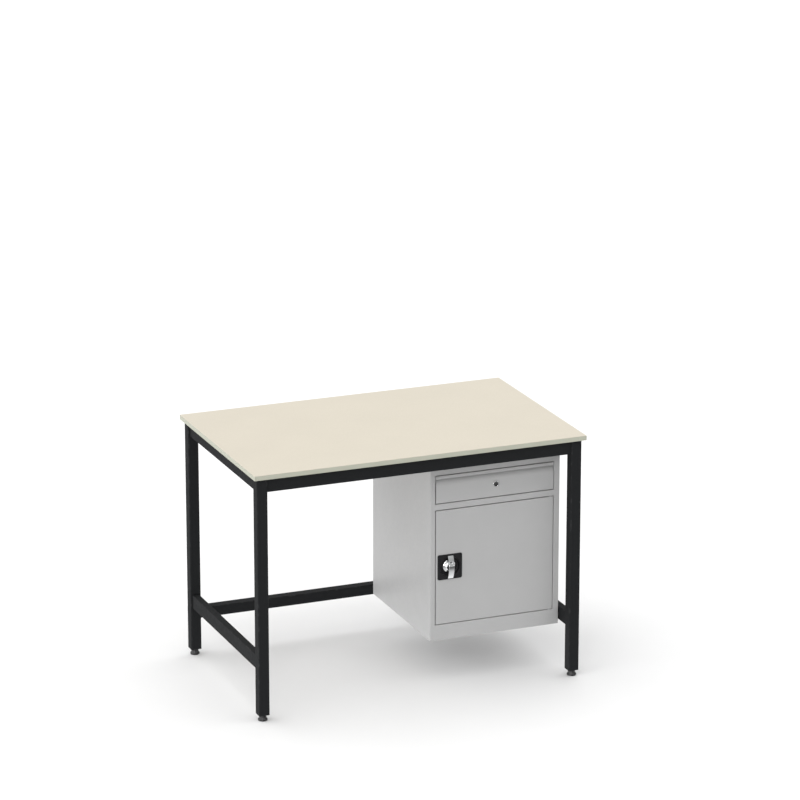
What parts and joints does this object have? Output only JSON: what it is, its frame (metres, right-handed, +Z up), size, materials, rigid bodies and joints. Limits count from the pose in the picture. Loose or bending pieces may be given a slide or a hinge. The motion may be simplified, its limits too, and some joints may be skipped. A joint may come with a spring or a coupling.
{
  "type": "work desk",
  "caption": "Work desk on a square-tube steel frame with a thin laminated top and a hanging cabinet that has a shallow drawer over a hinged, lockable cupboard door.",
  "frame": {"origin": "on the floor, under the middle of the worktop", "axes": "+X to the right as seen by the person at the desk, +Y from the front to the back, +Z up"},
  "size_m": [1.2, 0.75, 0.8725],
  "materials": {
    "frame_paint": "fine textured powder coat, anthracite",
    "cabinet_paint": "smooth satin powder coat, light grey",
    "laminate": "pale beige high-pressure laminate, satin",
    "edge_band": "beige-grey plastic edge band, satin",
    "chipboard": "raw pressed chipboard",
    "zinc": "bright zinc plate",
    "chrome": "polished chrome",
    "satin_chrome": "satin chrome",
    "dark_nickel": "dark satin nickel",
    "black_plastic": "black moulded plastic, light sheen",
    "foot_plastic": "black moulded plastic"
  },
  "bodies": {
    "bench": {"leg_front_left": "frame_paint", "leg_plug_front_left": "foot_plastic", "leg_front_right": "frame_paint", "leg_plug_front_right": "foot_plastic", "leg_rear_left": "frame_paint", "leg_plug_rear_left": "foot_plastic", "leg_rear_right": "frame_paint", "leg_plug_rear_right": "foot_plastic", "top_rail_front": "frame_paint", "top_rail_rear": "frame_paint", "top_rail_left": "frame_paint", "top_rail_right": "frame_paint", "low_rail_left": "frame_paint", "low_rail_right": "frame_paint", "rear_stretcher": "frame_paint", "worktop_core": "chipboard", "worktop_laminate": "laminate", "edge_band_front": "edge_band", "edge_band_rear": "edge_band", "edge_band_left": "edge_band", "edge_band_right": "edge_band", "cabinet_side_left": "cabinet_paint", "cabinet_side_right": "cabinet_paint", "cabinet_header": "cabinet_paint", "cabinet_divider": "cabinet_paint", "cabinet_base": "cabinet_paint", "cabinet_top": "cabinet_paint", "cabinet_back": "cabinet_paint", "shelf": "cabinet_paint", "shelf_ledge_left": "cabinet_paint", "shelf_ledge_right": "cabinet_paint", "slide_bracket_left": "zinc", "slide_bracket_right": "zinc", "latch_keeper": "zinc", "hinge_pin_top": "zinc", "hinge_pin_bottom": "zinc", "slide_outer_left": "zinc", "slide_outer_right": "zinc"},
    "slide_middle": {"slide_middle_left": "zinc", "slide_middle_right": "zinc"},
    "drawer": {"slide_inner_left": "zinc", "slide_inner_right": "zinc", "drawer_tray": "cabinet_paint", "drawer_tray_front": "cabinet_paint", "drawer_tray_rear": "cabinet_paint", "drawer_front": "cabinet_paint", "drawer_lock_barrel": "chrome"},
    "drawer_key": {"drawer_lock_plug": "dark_nickel", "drawer_lock_cam": "zinc"},
    "door": {"door_pan": "cabinet_paint", "door_inner_sheet": "cabinet_paint", "handle_plate": "black_plastic"},
    "handle": {"handle_bar": "chrome", "handle_lock_cap": "satin_chrome", "latch_blade": "zinc"},
    "handle_key": {"handle_key_plug": "chrome"},
    "foot_front_left": {"foot_front_left": "foot_plastic"},
    "foot_front_right": {"foot_front_right": "foot_plastic"},
    "foot_rear_left": {"foot_rear_left": "foot_plastic"},
    "foot_rear_right": {"foot_rear_right": "foot_plastic"}
  },
  "joints": [
    {"name": "drawer_slide", "type": "slide", "parent": "bench", "child": "drawer", "axis": [0, -1, 0], "range_m": [0, 0.4]},
    {"name": "slide_middle_travel", "type": "slide", "parent": "bench", "child": "slide_middle", "axis": [0, -1, 0], "range_m": [0, 0.2]},
    {"name": "door_swing", "type": "hinge", "parent": "bench", "child": "door", "pos_m": [0.51925, -0.256, 0.4255], "axis": [0, 0, 1], "range_deg": [0, 100]},
    {"name": "handle_turn", "type": "hinge", "parent": "door", "child": "handle", "pos_m": [0.14475, -0.262, 0.42625], "axis": [0, 1, 0], "range_deg": [0, 90]},
    {"name": "handle_key_turn", "type": "hinge", "parent": "handle", "child": "handle_key", "pos_m": [0.14475, -0.262, 0.44575], "axis": [0, 1, 0], "range_deg": [0, 90]},
    {"name": "drawer_key_turn", "type": "hinge", "parent": "drawer", "child": "drawer_key", "pos_m": [0.314, -0.262, 0.70175], "axis": [0, -1, 0], "range_deg": [0, 90]},
    {"name": "foot_screw_front_left", "type": "slide", "parent": "bench", "child": "foot_front_left", "axis": [0, 0, -1], "range_m": [0, 0.02]},
    {"name": "foot_screw_front_right", "type": "slide", "parent": "bench", "child": "foot_front_right", "axis": [0, 0, -1], "range_m": [0, 0.02]},
    {"name": "foot_screw_rear_left", "type": "slide", "parent": "bench", "child": "foot_rear_left", "axis": [0, 0, -1], "range_m": [0, 0.02]},
    {"name": "foot_screw_rear_right", "type": "slide", "parent": "bench", "child": "foot_rear_right", "axis": [0, 0, -1], "range_m": [0, 0.02]}
  ],
  "couplings": [
    {"joint": "slide_middle_travel", "follows": "drawer_slide", "ratio": 0.5}
  ]
}
